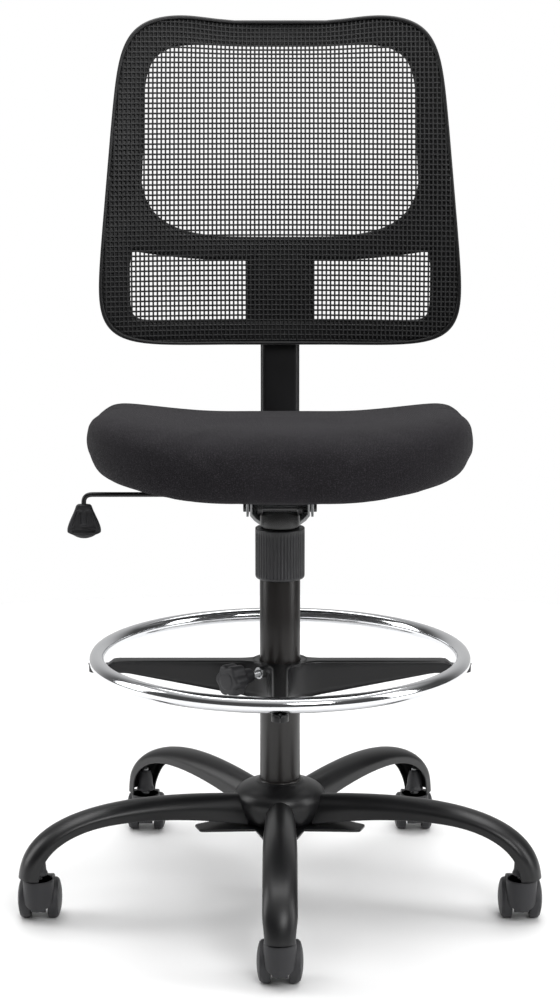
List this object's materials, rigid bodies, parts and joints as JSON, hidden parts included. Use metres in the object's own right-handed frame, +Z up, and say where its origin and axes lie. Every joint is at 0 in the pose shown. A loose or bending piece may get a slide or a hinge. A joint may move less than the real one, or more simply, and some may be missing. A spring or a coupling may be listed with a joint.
{
  "type": "drafting chair",
  "caption": "Tall swivel chair on a star base with twin-wheel casters, gas lift, sliding footring, padded seat and mesh back.",
  "frame": {"origin": "on the floor under the column axis", "axes": "+Z up; the sitter faces -Y; +X is to the sitter's left, and the height lever is on -X"},
  "size_m": [0.6456, 0.6686, 1.0949],
  "materials": {
    "satin_black": "satin",
    "gloss_black": "gloss",
    "moulded_grey": "matte",
    "chrome": "polished",
    "zinc": "satin",
    "spring_steel": "gloss",
    "charcoal_fabric": "matte",
    "black_mesh": "matte",
    "pan_black": "matte"
  },
  "bodies": {
    "base": {"base_hub": "satin_black", "base_star_plate": "satin_black", "leg_1": "satin_black", "stem_socket_1": "moulded_grey", "leg_2": "satin_black", "stem_socket_2": "moulded_grey", "leg_3": "satin_black", "stem_socket_3": "moulded_grey", "leg_4": "satin_black", "stem_socket_4": "moulded_grey", "leg_5": "satin_black", "stem_socket_5": "moulded_grey", "column_tube": "gloss_black", "column_bush": "moulded_grey", "ribbed_collar": "moulded_grey", "piston_rod": "chrome"},
    "caster_1": {"caster_1_stem": "zinc", "caster_1_hood": "moulded_grey", "caster_1_axle": "zinc"},
    "caster_1_wheel_left": {"caster_1_wheel_left": "moulded_grey"},
    "caster_1_wheel_right": {"caster_1_wheel_right": "moulded_grey"},
    "caster_2": {"caster_2_stem": "zinc", "caster_2_hood": "moulded_grey", "caster_2_axle": "zinc"},
    "caster_2_wheel_left": {"caster_2_wheel_left": "moulded_grey"},
    "caster_2_wheel_right": {"caster_2_wheel_right": "moulded_grey"},
    "caster_3": {"caster_3_stem": "zinc", "caster_3_hood": "moulded_grey", "caster_3_axle": "zinc"},
    "caster_3_wheel_left": {"caster_3_wheel_left": "moulded_grey"},
    "caster_3_wheel_right": {"caster_3_wheel_right": "moulded_grey"},
    "caster_4": {"caster_4_stem": "zinc", "caster_4_hood": "moulded_grey", "caster_4_axle": "zinc"},
    "caster_4_wheel_left": {"caster_4_wheel_left": "moulded_grey"},
    "caster_4_wheel_right": {"caster_4_wheel_right": "moulded_grey"},
    "caster_5": {"caster_5_stem": "zinc", "caster_5_hood": "moulded_grey", "caster_5_axle": "zinc"},
    "caster_5_wheel_left": {"caster_5_wheel_left": "moulded_grey"},
    "caster_5_wheel_right": {"caster_5_wheel_right": "moulded_grey"},
    "lift": {"gas_cylinder": "gloss_black"},
    "release_button": {"release_button": "zinc"},
    "swivel": {"column_socket": "gloss_black", "mechanism_housing": "zinc", "tilt_shaft": "zinc", "tilt_spring_right": "spring_steel", "tilt_spring_left": "spring_steel"},
    "lever": {"lever_rod": "satin_black", "lever_paddle": "moulded_grey"},
    "seat": {"seat_plate": "zinc", "seat_pan": "pan_black", "seat_cushion": "charcoal_fabric", "back_upright": "satin_black", "back_frame": "moulded_grey", "back_mesh": "black_mesh"},
    "footring": {"footring_ring": "chrome", "footring_spider": "satin_black"},
    "knob": {"footring_knob": "moulded_grey", "footring_stud": "zinc"}
  },
  "joints": [
    {"name": "caster_1_swivel", "type": "hinge", "parent": "base", "child": "caster_1", "pos_m": [0, -0.311, 0.06], "axis": [0, 0, 1], "continuous": true},
    {"name": "caster_1_roll_left", "type": "hinge", "parent": "caster_1", "child": "caster_1_wheel_left", "pos_m": [0, -0.293, 0.025], "axis": [1, 0, 0], "continuous": true},
    {"name": "caster_1_roll_right", "type": "hinge", "parent": "caster_1", "child": "caster_1_wheel_right", "pos_m": [0, -0.293, 0.025], "axis": [1, 0, 0], "continuous": true},
    {"name": "caster_2_swivel", "type": "hinge", "parent": "base", "child": "caster_2", "pos_m": [0.29578, -0.0961, 0.06], "axis": [0, 0, 1], "continuous": true},
    {"name": "caster_2_roll_left", "type": "hinge", "parent": "caster_2", "child": "caster_2_wheel_left", "pos_m": [0.29578, -0.0781, 0.025], "axis": [1, 0, 0], "continuous": true},
    {"name": "caster_2_roll_right", "type": "hinge", "parent": "caster_2", "child": "caster_2_wheel_right", "pos_m": [0.29578, -0.0781, 0.025], "axis": [1, 0, 0], "continuous": true},
    {"name": "caster_3_swivel", "type": "hinge", "parent": "base", "child": "caster_3", "pos_m": [0.1828, 0.2516, 0.06], "axis": [0, 0, 1], "continuous": true},
    {"name": "caster_3_roll_left", "type": "hinge", "parent": "caster_3", "child": "caster_3_wheel_left", "pos_m": [0.1828, 0.2696, 0.025], "axis": [1, 0, 0], "continuous": true},
    {"name": "caster_3_roll_right", "type": "hinge", "parent": "caster_3", "child": "caster_3_wheel_right", "pos_m": [0.1828, 0.2696, 0.025], "axis": [1, 0, 0], "continuous": true},
    {"name": "caster_4_swivel", "type": "hinge", "parent": "base", "child": "caster_4", "pos_m": [-0.1828, 0.2516, 0.06], "axis": [0, 0, 1], "continuous": true},
    {"name": "caster_4_roll_left", "type": "hinge", "parent": "caster_4", "child": "caster_4_wheel_left", "pos_m": [-0.1828, 0.2696, 0.025], "axis": [1, 0, 0], "continuous": true},
    {"name": "caster_4_roll_right", "type": "hinge", "parent": "caster_4", "child": "caster_4_wheel_right", "pos_m": [-0.1828, 0.2696, 0.025], "axis": [1, 0, 0], "continuous": true},
    {"name": "caster_5_swivel", "type": "hinge", "parent": "base", "child": "caster_5", "pos_m": [-0.29578, -0.0961, 0.06], "axis": [0, 0, 1], "continuous": true},
    {"name": "caster_5_roll_left", "type": "hinge", "parent": "caster_5", "child": "caster_5_wheel_left", "pos_m": [-0.29578, -0.0781, 0.025], "axis": [1, 0, 0], "continuous": true},
    {"name": "caster_5_roll_right", "type": "hinge", "parent": "caster_5", "child": "caster_5_wheel_right", "pos_m": [-0.29578, -0.0781, 0.025], "axis": [1, 0, 0], "continuous": true},
    {"name": "seat_lift", "type": "slide", "parent": "base", "child": "lift", "axis": [0, 0, 1], "range_m": [0, 0.25]},
    {"name": "seat_swivel", "type": "hinge", "parent": "lift", "child": "swivel", "pos_m": [0, 0, 0.48], "axis": [0, 0, 1], "continuous": true},
    {"name": "seat_tilt", "type": "hinge", "parent": "swivel", "child": "seat", "pos_m": [0, -0.045, 0.507], "axis": [-1, 0, 0], "range_deg": [0, 7], "stiffness_Nm_per_rad": 90, "springref_deg": -11.46},
    {"name": "height_lever", "type": "hinge", "parent": "swivel", "child": "lever", "pos_m": [-0.0385, 0, 0.515], "axis": [0, 1, 0], "range_deg": [0, 5]},
    {"name": "release_press", "type": "slide", "parent": "lift", "child": "release_button", "axis": [0, 0, -1], "range_m": [0, 0.0035]},
    {"name": "footring_slide", "type": "slide", "parent": "base", "child": "footring", "axis": [0, 0, 1], "range_m": [-0.1, 0.1]},
    {"name": "footring_knob_turn", "type": "hinge", "parent": "footring", "child": "knob", "pos_m": [-0.0495, -0.0495, 0.2956], "axis": [-0.7071, -0.7071, 0], "range_deg": [0, 720]}
  ],
  "couplings": [
    {"joint": "release_press", "follows": "height_lever", "m_per_rad": 0.0385}
  ]
}
